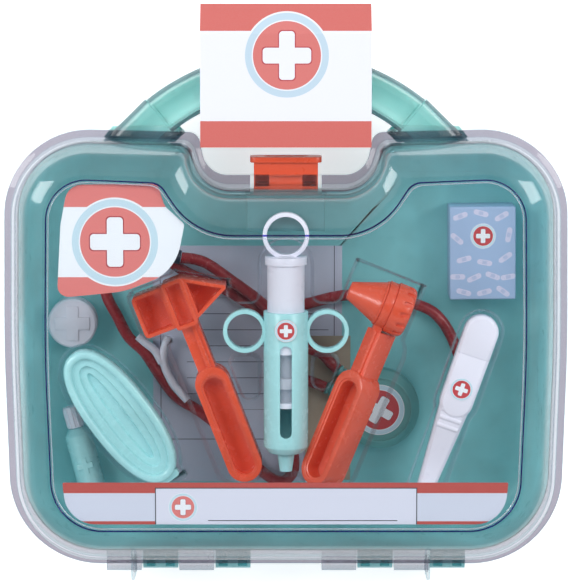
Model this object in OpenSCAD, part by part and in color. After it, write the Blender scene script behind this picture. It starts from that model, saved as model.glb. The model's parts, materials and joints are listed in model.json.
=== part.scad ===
// Toy doctor case, lying on its back, in millimetres.
// X runs across the case, Y from the hinge to the handle, Z from the back to the clear lid.

/* [Case] */
// Outside width of the lid rim
case_w = 270.4; // [225:0.1:325]
// Outside height of the lid rim, from the hinge side to the top edge
case_h = 211.9; // [200:0.1:255]
// Depth of the teal base, from its back to the parting plane
base_d = 36; // [34:0.5:46]
// Depth of the clear lid, from the parting plane to its front
lid_d = 28.5; // [28:0.5:34]
// Wall of the base
base_t = 2; // [1.6:0.1:2.6]
// Wall of the lid
lid_t = 1.6; // [1.4:0.1:2.4]
// How far the lid's flange stands out past the base
flange_w = 6; // [5:0.1:7]
// Thickness of the lid's flange
flange_t = 3.4; // [2.4:0.1:4]

/* [Handle] */
// Radius of the handle's centre line
grip_r = 96.3; // [90:0.1:110]
// Width of the handle bar, across the arch
grip_w = 19.4; // [17:0.1:22]
// Depth of each half of the handle
grip_d = 10.5; // [8:0.1:11.4]
// Depth of the notch between the handle roots
notch_d = 22.6; // [18:0.1:24]

/* [Hinge] */
// Radius of the hinge pins, moulded with the lid
pin_r = 2; // [1.6:0.05:2.4]
// Radial clearance of the pins in the base's lugs
pin_gap = 0.05; // [0.02:0.01:0.1]
// Outer radius of the hinge lugs
lug_r = 4.6; // [4.2:0.1:4.8]
// Width of one hinge lug
lug_w = 17; // [14:0.1:17]
// Distance of the two lug sets from the middle
lug_x = 52.2; // [46:0.1:60]

/* [Latch] */
// Width of the latch button
latch_w = 30.6; // [24:0.1:34]
// Depth of the latch button
latch_d = 12; // [10:0.1:14]
// How far the button is pressed
latch_travel = 3.5; // [2.5:0.1:4]
// Clearance of the button in its housing
latch_gap = 0.4; // [0.3:0.05:0.6]

/* [Tools] */
// Radius of the syringe barrel
barrel_r = 10.7; // [9.5:0.1:12]
// Length of the syringe barrel
barrel_l = 68.5; // [66:0.1:75]
// Stroke of the plunger
plunger_stroke = 14; // [8:0.5:14]
// Outer radius of the syringe's finger loops
loop_r = 10.4; // [9.5:0.1:11]
// Thickness of the grips of the hammer and the otoscope
tool_t = 14; // [11:0.5:15]
// Width of the grips of the hammer and the otoscope
tool_w = 16.8; // [15:0.1:18]
// Length of the oval dish
dish_l = 76; // [68:0.5:80]
// Length of the thermometer
thermo_l = 100; // [90:0.5:102]
// Radius of the pill box
pill_r = 12; // [10:0.1:12.4]
// Radius of the stethoscope's chest piece
chest_r = 20; // [18:0.1:21]
// Outer radius of the stethoscope's tube
tube_r = 2.75; // [2.2:0.05:3]

/* [Card and film] */
// Width of the header card
card_w = 80.8; // [60:0.1:90]
// Height of the header card
card_h = 67.2; // [64:0.1:72]
// Thickness of card and labels
card_t = 0.5; // [0.3:0.05:0.8]
// Thickness of the tray's film
film_t = 0.6; // [0.4:0.05:1]
// Depth of the tray's pockets below its flange
pocket_d = 7; // [5:0.5:8]

/* [Hidden] */
$fn = 48;

TEAL = [0.42, 0.74, 0.71];
PALE_TEAL = [0.64, 0.86, 0.86];
CLEAR = [0.85, 0.92, 0.96, 0.3];
ORANGE = [0.84, 0.28, 0.18];
WHITE = [0.95, 0.95, 0.97];
PRINT_RED = [0.86, 0.42, 0.40];
TUBE_RED = [0.62, 0.13, 0.16];
NAVY = [0.12, 0.14, 0.24];
PACK_BLUE = [0.62, 0.74, 0.90];
CARD_BROWN = [0.74, 0.66, 0.58];

// Planes and edges of the closed case
parting = base_d;
front = base_d + lid_d;
rim_y0 = 3.9;
rim_y1 = rim_y0 + case_h;
mid_y = (rim_y0 + rim_y1) / 2;
notch_y = rim_y1 - notch_d;
fold_y = rim_y1 + 58.4;
back_inset = 19;
panel_inset = 23;
touch = 0.3;
// How far the lid's edge and the tray's flange each reach over the base's rim
seat_w = 0.7;

// The row's origin is under the middle of the whole length, from the lugs to the card's fold
module in_frame() { translate([0, -fold_y / 2, 0]) children(); }

// Rounded outlines
function unit(v) = v / norm(v);
function turn(a0, a1) = let(t = a1 - a0) t > 180 ? t - 360 : t < -180 ? t + 360 : t;
function fillet(a, b, c, r, n) =
    let(u = unit(a - b), v = unit(c - b), half = acos(u * v) / 2,
        mid = b + unit(u + v) * r / sin(half), p = b + u * r / tan(half), q = b + v * r / tan(half),
        a0 = atan2(p.y - mid.y, p.x - mid.x), sweep = turn(a0, atan2(q.y - mid.y, q.x - mid.x)))
    [for (i = [0:n]) mid + r * [cos(a0 + sweep * i / n), sin(a0 + sweep * i / n)]];
// A path of corners, each [point, radius, steps], with plain ends
function rounded(c) = [c[0][0], for (i = [1:len(c) - 2])
    each fillet(c[i - 1][0], c[i][0], c[i + 1][0], c[i][1], c[i][2]), c[len(c) - 1][0]];
function closed(c) = [for (i = [0:len(c) - 1]) let(n = len(c))
    each fillet(c[(i + n - 1) % n][0], c[i][0], c[(i + 1) % n][0], c[i][1], c[i][2])];
function flip(p) = [-p.x, p.y];
// Outline of the case, drawn in by d: sides that bulge, four big corners and the handle's notch
function half_outline(d) = let(w = case_w / 2 - d) rounded([
    [[0, rim_y0 + d]],
    [[w - 2.8, rim_y0 + d], 44 - 0.9 * d, 9],
    [[w, rim_y0 + case_h / 2], 900, 4],
    [[w - 1.4, rim_y1 - d], 41 - d, 9],
    [[41.8 + 0.8 * d, rim_y1 - 2.2 - d], 6 + 0.1 * d, 4],
    [[37.5 + 0.24 * d, notch_y - 1.2 * d], 12 + d, 7],
    [[0, notch_y - 1.2 * d]]]);
function outline(d) = let(h = half_outline(d), n = len(h))
    concat(h, [for (i = [n - 2:-1:1]) flip(h[i])]);
function ring(p) = [for (q = outline(p[0])) [q.x, q.y, p[1]]];

// Skin through a list of rings of equally many points, closed at both ends
module loft(rings) {
    n = len(rings[0]);
    last = (len(rings) - 1) * n;
    polyhedron([for (r = rings) each r], concat(
        [[for (i = [0:n - 1]) i]],
        [for (j = [0:len(rings) - 2], i = [0:n - 1]) let(k = (i + 1) % n)
            each [[j * n + i, (j + 1) * n + i, (j + 1) * n + k], [j * n + i, (j + 1) * n + k, j * n + k]]],
        [[for (i = [n - 1:-1:0]) last + i]]), convexity = 8);
}
module at(p, angle = 0) { translate(p) rotate([0, 0, angle]) children(); }
module block(x0, x1, y0, y1, z0, z1) { translate([x0, y0, z0]) cube([x1 - x0, y1 - y0, z1 - z0]); }
module mirrored() { children(); mirror([1, 0, 0]) children(); }
module bar_x(x0, x1, y, z, r) { translate([x0, y, z]) rotate([0, 90, 0]) cylinder(r = r, h = x1 - x0); }
module bar_y(y0, y1, r, r2 = undef) {
    translate([0, y0, 0]) rotate([-90, 0, 0]) cylinder(r1 = r, r2 = is_undef(r2) ? r : r2, h = y1 - y0);
}
module rod_2d(y0, y1, r) {
    for (y = [y0, y1]) at([0, y]) circle(r);
    at([-r, y0]) square([2 * r, y1 - y0]);
}
module plus_2d(size, arm) { square([size, arm], center = true); square([arm, size], center = true); }

// Handle: each half is a D-shaped channel swept along the arch, with a fatter root and a collar
grip_mid = [0, rim_y1 - 69.9];
root_swell = 2.4;
root_angle = 39;
collar_a = 1.6;
module half_round(w, h, r) {
    translate([grip_r, 0]) union() {
        translate([-w / 2, 0]) square([w, h - r]);
        translate([-w / 2 + r, 0]) square([w - 2 * r, h]);
        for (s = [-1, 1]) intersection() {
            translate([s * (w / 2 - r), h - r]) circle(r);
            translate([s * w / 4, h - r / 2]) square([w / 2, r], center = true);
        }
    }
}
module arch(w, h, r, from, to) {
    at(grip_mid, 90 - to) rotate_extrude(angle = to - from, $fn = 96) half_round(w, h, r);
}
// The root ends in the case's wall, at an inset of seat; the channel ends before that wall
module handle_half(wall, seat) {
    r = 7;
    fat = grip_w + 2 * root_swell;
    difference() {
        union() {
            arch(grip_w, grip_d, r, -root_angle, root_angle);
            mirrored() arch(fat, grip_d + 0.6, r + 1, root_angle - collar_a, 53);
        }
        translate([0, 0, -1]) linear_extrude(grip_d + 3) polygon(outline(seat));
        difference() {
            translate([0, 0, -0.1]) arch(grip_w - 2 * wall, grip_d - wall + 0.1, r - wall, -52, 52);
            translate([0, 0, -1]) linear_extrude(grip_d + 3) polygon(outline(seat - 1.6));
        }
    }
}

// Hinge: two sets of four lugs, clear and teal in turn
hinge_y = lug_r;
hinge_z = parting - 5.5;
lug_pitch = lug_w + 0.6;
function lug_x0(set, i) = set * lug_x - 2 * lug_pitch + i * lug_pitch + 0.3;
module base_lug(x0) {
    x1 = x0 + lug_w;
    window = lug_w * 0.26;
    difference() {
        union() {
            bar_x(x0, x1, hinge_y, hinge_z, lug_r);
            block(x0, x1, hinge_y, rim_y0 + flange_w + 1.2, hinge_z - lug_r, hinge_z + lug_r);
        }
        bar_x(x0 - 1, x1 + 1, hinge_y, hinge_z, pin_r + pin_gap);
        for (x = [x0 + 1.6, x1 - 1.6 - window])
            block(x, x + window, hinge_y - 3, hinge_y + 3, hinge_z, parting);
        block(x0 + 1.6 + window + 0.8, x1 - 2.4 - window, hinge_y - 3, hinge_y + 3, 0, hinge_z);
    }
}
module lid_lug(x0) {
    x1 = x0 + lug_w;
    bar_x(x0, x1, hinge_y, hinge_z, lug_r);
    block(x0, x1, 0, 2 * lug_r, hinge_z, parting + 0.5);
}
module hinge_pin(set) {
    bar_x(lug_x0(set, 0) + 1, lug_x0(set, 3) + lug_w - 0.5, hinge_y, hinge_z, pin_r);
}

// Latch: a button in a housing under the notch, held by two hooks on the lid
top_wall_y = notch_y - 1.2 * flange_w;
latch_z0 = parting - latch_d;
latch_z1 = parting - touch;
lower_z1 = parting - 2.1;
housing_y = top_wall_y - 20;
button_y = housing_y + 10;
cap_y = notch_y + 5.7;
hook_x = [8.6, 14];
hook_y = top_wall_y + 1.6;
hook_t = 1.6;
catch = 1.3;
stop_y = button_y + 2;
module housing_solid() {
    w = latch_w / 2 + 3.2;
    block(-w, w, housing_y, top_wall_y - 1, latch_z0 - latch_gap - 1.6, parting);
}
module housing_hollow() {
    w = latch_w / 2 + latch_gap;
    block(-w, w, housing_y + 1.6, top_wall_y + 5, latch_z0 - latch_gap, parting - 1.8);
    block(-w - 1.4, w + 1.4, stop_y - latch_travel - 2.6, stop_y + 0.2, latch_z0 + 2, latch_z0 + 7.4);
}

// Base
base_rings = [[back_inset, 0], [15, 0.8], [11, 3.4], [8.4, 8.5], [7.2, base_d * 0.45], [flange_w, base_d],
    [flange_w + base_t, base_d], [7.2 + base_t, base_d * 0.45], [8.4 + base_t, 9.2], [10.8 + base_t, 5],
    [14.2 + base_t, 2.6 + base_t * 0.3], [back_inset + base_t, base_t]];
module base_shell() color(TEAL) in_frame() {
    difference() {
        union() {
            loft([for (p = base_rings) ring(p)]);
            housing_solid();
            for (s = [-1, 1], i = [1, 3]) base_lug(lug_x0(s, i));
            translate([0, 0, parting]) mirror([0, 0, 1]) handle_half(base_t, flange_w + 1);
        }
        housing_hollow();
    }
}

// Lid
lid_inner = [[panel_inset, -0.9 - lid_t], [20, -2.2], [15.6, -3.9], [11.8, -7.2], [9, -12.2], [7.4, -18.5]];
lid_outer = [[5.6, -18.5], [7.2, -11.5], [10.3, -5.6], [14.5, -2], [19, -0.1], [21.2, 0], [22, -0.7],
    [panel_inset + 0.2, -0.9]];
lid_rings = concat(
    [for (p = lid_inner) [p[0], front + p[1]]],
    [[flange_w + seat_w, parting], [0.6, parting], [0, parting + 0.6], [0, parting + flange_t - 1],
        [1, parting + flange_t], [5, parting + flange_t + 0.2]],
    [for (p = lid_outer) [p[0], front + p[1]]]);
panel_back = front - 0.9 - lid_t;
fin_t = 1.6;
module fin(x) {
    at([x - fin_t / 2, 0, 0]) rotate([90, 0, 90]) linear_extrude(fin_t)
        polygon([[0.2, parting + 1], [0.2, front - 7.5], [2.6, front - 5], [17.4, front - 3],
            [14.6, front - 7.3], [11.8, front - 12.5], [10.4, front - 18.5], [10, parting + 1]]);
}
module hook() {
    block(hook_x[0], hook_x[1], hook_y, hook_y + hook_t, lower_z1 - 4.6, parting + 0.5);
    block(hook_x[0], hook_x[1], hook_y - catch, hook_y + 0.1, lower_z1 - 4.6, lower_z1 - 2.3);
}
module lid_shell() color(CLEAR) in_frame() {
    loft([for (p = lid_rings) ring(p)]);
    translate([0, 0, parting]) handle_half(lid_t, 6.4);
    for (s = [-1, 1]) {
        for (i = [0, 2]) lid_lug(lug_x0(s, i));
        hinge_pin(s);
    }
    fin(lug_x0(-1, 0) + 14);
    fin(lug_x0(1, 2) + 15.6);
    mirrored() hook();
}

module latch_button() color(ORANGE) in_frame() {
    w = latch_w / 2;
    difference() {
        union() {
            block(-w, w, button_y, cap_y, latch_z0, lower_z1);
            block(-w, w, hook_y + hook_t + latch_travel - touch, cap_y, latch_z0, latch_z1);
            block(-w - 1.2, w + 1.2, stop_y - 2, stop_y, latch_z0 + 2.4, latch_z0 + 7);
            latch_cap();
        }
        for (s = [-1, 1]) block(s * 11.3 - 3.4, s * 11.3 + 3.4, hook_y - 0.25,
            hook_y + hook_t + latch_travel + 0.4, latch_z0 + 2.4, parting + 1);
        for (s = [-1, 1]) block(s * 11.3 - 3.4, s * 11.3 + 3.4, hook_y - latch_travel - 2,
            hook_y + 0.1, latch_z0 + 2.4, lower_z1 - 2);
        block(-5.5, 5.5, button_y - 1, cap_y - 6, latch_z0 + 1.6, lower_z1 - 1.6);
        translate([0, cap_y + 3.4, latch_z0 + latch_d / 2]) rotate([90, 0, 0]) linear_extrude(2)
            rotate(90) rod_2d(-8, 8, 2.6);
    }
    translate([0, 0, latch_z0 + latch_d / 2]) bar_y(housing_y + 1.8 + latch_travel, cap_y - 5.9, 2.2);
}
module latch_cap() {
    w = latch_w / 2 + 1.8;
    translate([0, cap_y + 2.6, latch_z0 + latch_d / 2 + 0.4]) rotate([90, 0, 0]) linear_extrude(2.6)
        polygon(closed([[[-w, -7.6], 3, 5], [[w, -7.6], 3, 5], [[w, 7], 3, 5], [[-w, 7], 3, 5]]));
}
// Coil spring round the button's peg, drawn by its turns
spring_turns = 5;
spring_r = 3.7;
spring_wire = 0.5;
spring_y0 = housing_y + 1.6 + spring_wire;
spring_y1 = button_y - spring_wire - 0.05;
module latch_spring() color([0.7, 0.7, 0.72]) in_frame() {
    steps = spring_turns * 10;
    loft([for (i = [0:steps]) let(a = i * 36, y = spring_y0 + (spring_y1 - spring_y0) * i / steps)
        [for (k = [0:5]) let(r = spring_r + spring_wire * cos(60 * k))
            [r * cos(a), y + spring_wire * sin(60 * k), latch_z0 + latch_d / 2 + r * sin(a)]]]);
}

// Places of the tools: [x, y] and turn. They sit in the tray's pockets.
pocket_z = parting - pocket_d;
tool_z = pocket_z + touch;
hammer_at = [-50.7, mid_y + 23.1];
hammer_turn = 21.2;
oto_at = [50.2, mid_y + 20.5];
oto_turn = -22;
barrel_y = mid_y - 50.4;
thermo_at = [93.9, mid_y + 7.2];
thermo_turn = -19;
dish_at = [-80, mid_y - 33.8];
dish_turn = -53;

// Reflex hammer: moulded open at the front, with thin walls round its cells
module tube_2d(t) { difference() { children(); offset(delta = -t) children(); } }
module hammer_left() polygon(closed([[[-21.2, -10.9], 2, 3], [[-5.4, -10.9], 0.5, 1],
    [[-5.4, 10], 0.5, 1], [[-21.2, 10], 2, 3]]));
module hammer_block() polygon(closed([[[-5.7, -12.6], 1.6, 3], [[5.2, -12.6], 1.6, 3],
    [[5.2, 11], 1.6, 3], [[-5.7, 11], 1.6, 3]]));
module hammer_wedge() polygon([[4.9, -10.6], [23, -1.7], [23.3, -0.3], [4.9, 10.6]]);
grip_y = [-85, -43];
grip_rim = 3.4;
module grip(h, neck) {
    rim = tool_w / 2;
    difference() {
        union() {
            linear_extrude(h) rod_2d(grip_y[0], grip_y[1], rim);
            linear_extrude(h - 2) translate([-4.3, grip_y[1]]) square([8.6, -grip_y[1] - neck]);
            linear_extrude(h - 0.6) translate([0.6, grip_y[1]]) square([1.8, -grip_y[1] - neck]);
        }
        translate([0, 0, h * 0.35]) linear_extrude(h) rod_2d(grip_y[0], grip_y[1] - 1.8, rim - grip_rim);
        translate([0, 0, h - 0.8]) linear_extrude(h) rod_2d(grip_y[0], grip_y[1] - 1.8, rim - grip_rim + 1);
    }
}
module reflex_hammer() color(ORANGE) in_frame() at([hammer_at.x, hammer_at.y, tool_z], hammer_turn) {
    h = tool_t + 3;
    grip(tool_t, 10);
    linear_extrude(h) { tube_2d(1.6) hammer_left(); tube_2d(1.6) hammer_wedge(); }
    linear_extrude(h * 0.4) { hammer_left(); hammer_wedge(); }
    linear_extrude(h + 1) tube_2d(1.8) hammer_block();
    linear_extrude(h * 0.7) hammer_block();
}

// Syringe, its axis along Y
syringe_z = tool_z + barrel_r;
plunger_gap = 0.08;
bore_r = barrel_r - 1.7;
plunger_r = bore_r - plunger_gap;
barrel_top = barrel_y + barrel_l;
slot_r = 2.8;
loop_y = barrel_top - 9.4;
loop_x = barrel_r + loop_r - 1.4;
module syringe_barrel() color(PALE_TEAL) in_frame() translate([0, 0, syringe_z]) {
    difference() {
        union() {
            bar_y(barrel_y + 3, barrel_top, barrel_r);
            bar_y(barrel_y, barrel_y + 3, barrel_r - 2.4, barrel_r);
            bar_y(barrel_y - 9.3, barrel_y, 3, 4.3);
            mirrored() translate([loop_x, loop_y, 0]) cylinder(r = loop_r, h = 6, center = true);
        }
        mirrored() translate([loop_x, loop_y, 0]) cylinder(r = loop_r - 2, h = 8, center = true);
        bar_y(barrel_y + 2.4, barrel_top + 1, bore_r);
        bar_y(barrel_y - 10, barrel_y + 3, 1.1);
        linear_extrude(barrel_r + 2) rod_2d(barrel_y + 8.3 + slot_r, barrel_top - 15.5 - slot_r, slot_r);
    }
}
shaft_y = barrel_top - 20;
piston_y = barrel_y + 8.5 + plunger_stroke;
module syringe_plunger() color(WHITE) in_frame() translate([0, 0, syringe_z]) {
    collar_y = barrel_top + 22.6;
    bar_y(shaft_y, collar_y + 1, plunger_r);
    bar_y(piston_y, shaft_y + 1, 4.6);
    bar_y(piston_y, piston_y + 2.5, plunger_r);
    bar_y(piston_y + 9, piston_y + 14, 6.6);
    difference() {
        bar_y(collar_y, collar_y + 3.8, 10);
        bar_y(collar_y - 1, collar_y, 20);
    }
    ring_y = collar_y + 13.9;
    translate([0, ring_y, 0]) difference() {
        cylinder(r = 11.1, h = 5, center = true);
        cylinder(r = 9.1, h = 7, center = true);
    }
    translate([0, collar_y + 3.4, 0]) rotate([-90, 0, 0]) cylinder(r1 = 6, r2 = 4, h = 1);
}
module syringe_label() color(PRINT_RED) in_frame()
    translate([0, loop_y + 1.4, syringe_z + barrel_r + 0.02]) cylinder(r = 5.3, h = card_t);

// Otoscope: the handle carries a plain band, between a hollow cone and a ribbed cap
head_r = 12.4;
band_l = 4.4;
head_z = head_r + 1.6;
module along_head(x) { translate([x, 0, head_z]) rotate([0, 90, 0]) children(); }
module otoscope_place() { in_frame() at([oto_at.x, oto_at.y, tool_z - 1.4], oto_turn) children(); }
module otoscope_body() color(ORANGE) otoscope_place() {
    along_head(-band_l) cylinder(r = head_r - 0.8, h = band_l);
    along_head(-0.1) cylinder(r = head_r - 4, h = 5);
    translate([-band_l, -head_r - 1.5, head_z - 5]) cube([band_l - 0.2, 5, 10]);
    translate([0, 0, head_z]) rotate([0, -42, 0]) translate([0, 0, -tool_t / 2]) grip(tool_t, head_r + 0.5);
}
// The ribbed cap screws on behind the band; its grooves run out at the back edge
groove_n = 14;
groove_r = 1.1;
module otoscope_cap() color(ORANGE) otoscope_place() along_head(0.02) difference() {
    rotate_extrude() polygon(concat([[0, 0], [head_r, 0]],
        [for (a = [0:15:90]) [head_r - 3 + 3 * cos(a), 6.5 + 3 * sin(a)]], [[0, 9.5]]));
    for (i = [0:groove_n - 1]) rotate([0, 0, i * 360 / groove_n]) translate([head_r - 1.1, 0, 0])
        rotate([90, 0, 90]) linear_extrude(2) rod_2d(4.3 + groove_r, 12, groove_r);
    translate([0, 0, -1]) cylinder(r = head_r - 3.95, h = 6.2);
}
module otoscope_speculum() color(ORANGE) otoscope_place() along_head(-band_l - 17.2) difference() {
    union() {
        cylinder(r1 = 4.2, r2 = 10.4, h = 16);
        translate([0, 0, 15.9]) cylinder(r = 10.9, h = 1.28);
    }
    translate([0, 0, -1]) cylinder(r = 2.4, h = 20);
    translate([0, 0, 2]) cylinder(r1 = 2.4, r2 = 8.8, h = 15.3);
}

// Thermometer: a long taper with a round cap
thermo_z = tool_z;
module taper(y0, r0, y1, r1, h) {
    hull() {
        for (c = [[y0, r0], [y1, r1]]) translate([0, c[0], 1.4]) cylinder(r = c[1], h = h - 2.8, $fn = 32);
        for (c = [[y0, r0], [y1, r1]]) translate([0, c[0], 0]) cylinder(r = c[1] - 1.4, h = h, $fn = 32);
    }
}
module thermo_place() { in_frame() at([thermo_at.x, thermo_at.y, thermo_z], thermo_turn) children(); }
cap_line = -12.3;
thermo_h = 9;
module thermometer_form() {
    taper(-36, 8, 0, 8.3, thermo_h);
    taper(8.3 - thermo_l + 3.6, 3.6, -34, 7.6, thermo_h - 0.8);
}
module thermometer_body() color(WHITE) thermo_place() {
    difference() {
        thermometer_form();
        block(-20, 20, cap_line, 20, -1, 20);
    }
    for (i = [0:2]) bar_x(-5.6, 5.2, -40.8 - i * 4.05, thermo_h - 1.5, 1.3);
}
module thermometer_cap() color(WHITE) thermo_place() intersection() {
    taper(-16, 8.3, 0, 8.3, thermo_h);
    block(-20, 20, cap_line + 0.02, 20, -1, 20);
}
module thermometer_label() color(PRINT_RED) thermo_place()
    translate([0, -29, thermo_h + 0.02]) cylinder(r = 5.6, h = card_t);

// Oval dish with a stepped hollow
function oval(a, b, n = 48) = [for (i = [0:n - 1]) let(t = i * 360 / n, c = cos(t), s = sin(t))
    [a * sign(c) * pow(abs(c), 0.85), b * sign(s) * pow(abs(s), 0.85)]];
dish_h = 11;
dish_b = 15.4;
// From the foot up the outside, then down the steps of the hollow: [inset, height]
dish_rings = [[2.6, 0], [0.7, 1.2], [0, 3.4], [0.2, dish_h - 1], [1, dish_h - 0.1], [3.2, dish_h],
    [4, dish_h - 0.7], [4.4, dish_h - 2.8], [8, dish_h - 3], [8.6, dish_h - 5], [12.2, dish_h - 5.2],
    [12.8, dish_h - 7.2]];
module oval_dish() color(PALE_TEAL) in_frame() at([dish_at.x, dish_at.y, tool_z], dish_turn) {
    loft([for (p = dish_rings) [for (q = oval(dish_l / 2 - p[0], dish_b - p[0])) [q.x, q.y, p[1]]]]);
    translate([0, 0, 2]) linear_extrude(dish_h - 5) translate([dish_l / 2 - 2.4, -6]) square([4.4, 12]);
}

// Pieces that lie in the base, under the tray
floor_z = base_t + touch;
sheet_t = 0.3;
pill_at = [-104.3, mid_y + 8.3];
pill_h = 13;
module pill_box_base() color(WHITE) in_frame() at([pill_at.x, pill_at.y, floor_z]) difference() {
    union() {
        cylinder(r1 = pill_r - 2, r2 = pill_r, h = 2);
        translate([0, 0, 1.9]) cylinder(r = pill_r, h = pill_h - 5.9);
        cylinder(r = pill_r - 1.2, h = pill_h - 1.8);
    }
    translate([0, 0, 1.4]) cylinder(r = pill_r - 2.4, h = pill_h);
}
module pill_box_lid() color(WHITE) in_frame() at([pill_at.x, pill_at.y, floor_z + pill_h - 3.98]) {
    difference() {
        union() {
            cylinder(r = pill_r, h = 3.1);
            translate([0, 0, 3.08]) cylinder(r1 = pill_r, r2 = pill_r - 0.9, h = 0.9);
        }
        translate([0, 0, -1]) cylinder(r = pill_r - 1.1, h = 3.4);
    }
    translate([0, 0, 3.9]) linear_extrude(0.7) plus_2d(16.8, 6);
}

bottle_r = 6.7;
module bottle_place() { in_frame() at([-94.3, mid_y - 79.9, floor_z + bottle_r], 14.3) children(); }
module bottle_body() color(PALE_TEAL) bottle_place() {
    difference() {
        union() {
            bar_y(0, 33, bottle_r);
            bar_y(33, 36.5, bottle_r, 3.6);
            bar_y(36.4, 42, 3);
        }
        bar_y(1.6, 32.4, bottle_r - 1.4);
        bar_y(30, 43, 2);
    }
    translate([0, 18, bottle_r - 0.9]) linear_extrude(1.4) plus_2d(8, 2.6);
}
module bottle_cap() color(WHITE) bottle_place() difference() {
    union() {
        bar_y(37, 47.5, 4.1);
        for (i = [0:11]) rotate([0, i * 30, 0]) translate([4, 37.6, 0]) rotate([-90, 0, 0])
            cylinder(r = 0.4, h = 9, $fn = 16);
    }
    bar_y(36, 42.6, 3.05);
}

module plaster_box() color(PACK_BLUE) in_frame() at([95.2, mid_y + 43.8, floor_z], 0.6) {
    difference() {
        translate([-16.1, -22.6, 0]) cube([32.2, 45.2, 20]);
        translate([-15.6, -22.1, 0.5]) cube([31.2, 43.9, 19]);
        translate([0, 22, 18.6]) cylinder(r = 5, h = 3);
    }
}
module prescription_sheet() color(WHITE) in_frame()
    block(-65.6, 27.6, mid_y - 72.8, mid_y + 45, floor_z - 0.2, floor_z - 0.2 + sheet_t);
module patient_card() color(CARD_BROWN) in_frame()
    block(9.4, 31.8, mid_y - 72, mid_y + 0.3, floor_z + 0.3, floor_z + 0.9);

// Stethoscope, coiled into the base. Each route is [x, y above the case's middle, z].
chest_at = [45.8, mid_y - 35.1, floor_z + 1.2];
nozzle_l = 8.3;
function nozzle_point(angle, d) = [chest_at.x - (chest_r + nozzle_l + d) * sin(angle),
    chest_at.y - mid_y + (chest_r + nozzle_l + d) * cos(angle), chest_at.z + 5];
chest_lip = 15.4;
module chest_place() { in_frame() translate(chest_at) children(); }
short_nozzle = 46;
long_nozzle = 68;
module nozzle(angle) { rotate([0, 0, angle]) translate([0, 0, 5]) {
    bar_y(chest_r - 1, chest_r + 1.8, 3.4);
    for (i = [0:2]) bar_y(chest_r + 2.5 + i * 2.1, chest_r + 3.8 + i * 2.1, 3.1);
    bar_y(chest_r + 1, chest_r + nozzle_l, 2.4);
} }
module stethoscope_chest_piece() color(TEAL) chest_place() {
    difference() {
        union() {
            rotate_extrude() polygon(concat([[0, 0], [chest_r, 0]],
                [for (a = [0:18:72]) [chest_r - 2.6 + 2.6 * cos(a), 4.2 + 2.6 * sin(a)]],
                [[chest_lip + 0.7, 9], [0, 9]]));
            nozzle(short_nozzle);
            nozzle(long_nozzle);
        }
        translate([0, 0, -1]) cylinder(r = chest_r - 2, h = 2.6);
        translate([0, 0, 7.6]) cylinder(r = chest_lip, h = 3);
    }
}
module stethoscope_diaphragm() color(WHITE) chest_place() cylinder(r = chest_r - 2.1, h = 1.2);
module stethoscope_label() color(TUBE_RED) chest_place() translate([0, 0, 7.62]) cylinder(r = 12.5, h = 1);

function spline(p, t) = let(n = len(p), i = min(floor(t), n - 2), f = t - i,
        a = p[max(i - 1, 0)], b = p[i], c = p[i + 1], d = p[min(i + 2, n - 1)])
    0.5 * (2 * b + (c - a) * f + (2 * a - 5 * b + 4 * c - d) * f * f + (3 * b - a - 3 * c + d) * f * f * f);
module hose(route, r, per_leg, sides) {
    n = (len(route) - 1) * per_leg;
    loft([for (i = [0:n]) let(t = i / per_leg, h = 0.05,
            dir = unit(spline(route, min(t + h, len(route) - 1)) - spline(route, max(t - h, 0))),
            side = unit(cross(dir, [0, 0, 1])), up = cross(dir, side), c = spline(route, t))
        [for (k = [0:sides - 1]) let(a = 360 * k / sides) c + r * (cos(a) * side + sin(a) * up)]]);
}
function placed(route) = [for (p = route) [p.x, mid_y + p.y, p.z]];
long_route = [nozzle_point(long_nozzle, touch), nozzle_point(long_nozzle, 5), [6, -20.5, 7.6],
    [-1, -27, 6.8], [-1, -40, 6.2], [3, -54, 6.2], [3.5, -67, 6.2], [-3, -72, 6.2], [-13, -66, 6.2],
    [-27, -50, 6.2], [-41, -38, 6.2], [-54, -29.5, 6.2], [-62, -19, 6.2], [-69.5, -7.5, 6.2],
    [-77.5, 0.5, 6.2], [-83, 11, 6.2], [-88, 21, 6.2], [-90, 34, 6.2], [-82, 45, 6.2], [-66, 43, 6.2],
    [-48, 32, 6.2], [-30, 24, 6.2], [-10, 13, 6.2], [7, 16, 6.2], [29, 21, 6.2], [50, 20, 6.2],
    [68, 15, 6.2], [76, 9, 6.2], [82, -1, 6.2], [86, -14, 6.2], [84, -28, 6.2]];
short_route = [nozzle_point(short_nozzle, touch), nozzle_point(short_nozzle, 5), [17, -7, 10],
    [8, -3, 12], [-2, 8, 12.2], [-13, 19, 12.2], [-25, 28, 12.2], [-39.5, 38, 12.6], [-51, 40.5, 12.8]];
module stethoscope_long_tube() color(TUBE_RED) in_frame() hose(placed(long_route), tube_r, 2, 8);
module stethoscope_short_tube() color(TUBE_RED) in_frame() hose(placed(short_route), tube_r, 3, 8);
module bow(route) { hose(placed(route), 2, 2, 8); }
module stethoscope_headset() color(WHITE) in_frame() {
    bow([[-72.6, 1.2, 9.8], [-68.6, -2.4, 9.6], [-64.4, -6, 9.4], [-61, -12, 9.3]]);
    bow([[-57.6, 1, 9.3], [-59.6, -4.5, 9.3], [-60.2, -10, 9.3], [-58.8, -16, 9.4], [-55.3, -22.6, 10.6],
        [-51.6, -27, 11.2], [-48.4, -30.4, 11.4]]);
}
module ear_tip(p, angle) { at([p.x, mid_y + p.y, p.z], angle) {
    bar_y(touch, 5, 3.4);
    bar_y(4.9, 9, 3.8, 2.2);
} }
module stethoscope_ear_tips() color(NAVY) in_frame() {
    ear_tip([-51, 40.5, 12.8], 78);
    ear_tip([84, -28, 6.2], 172);
}

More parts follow.
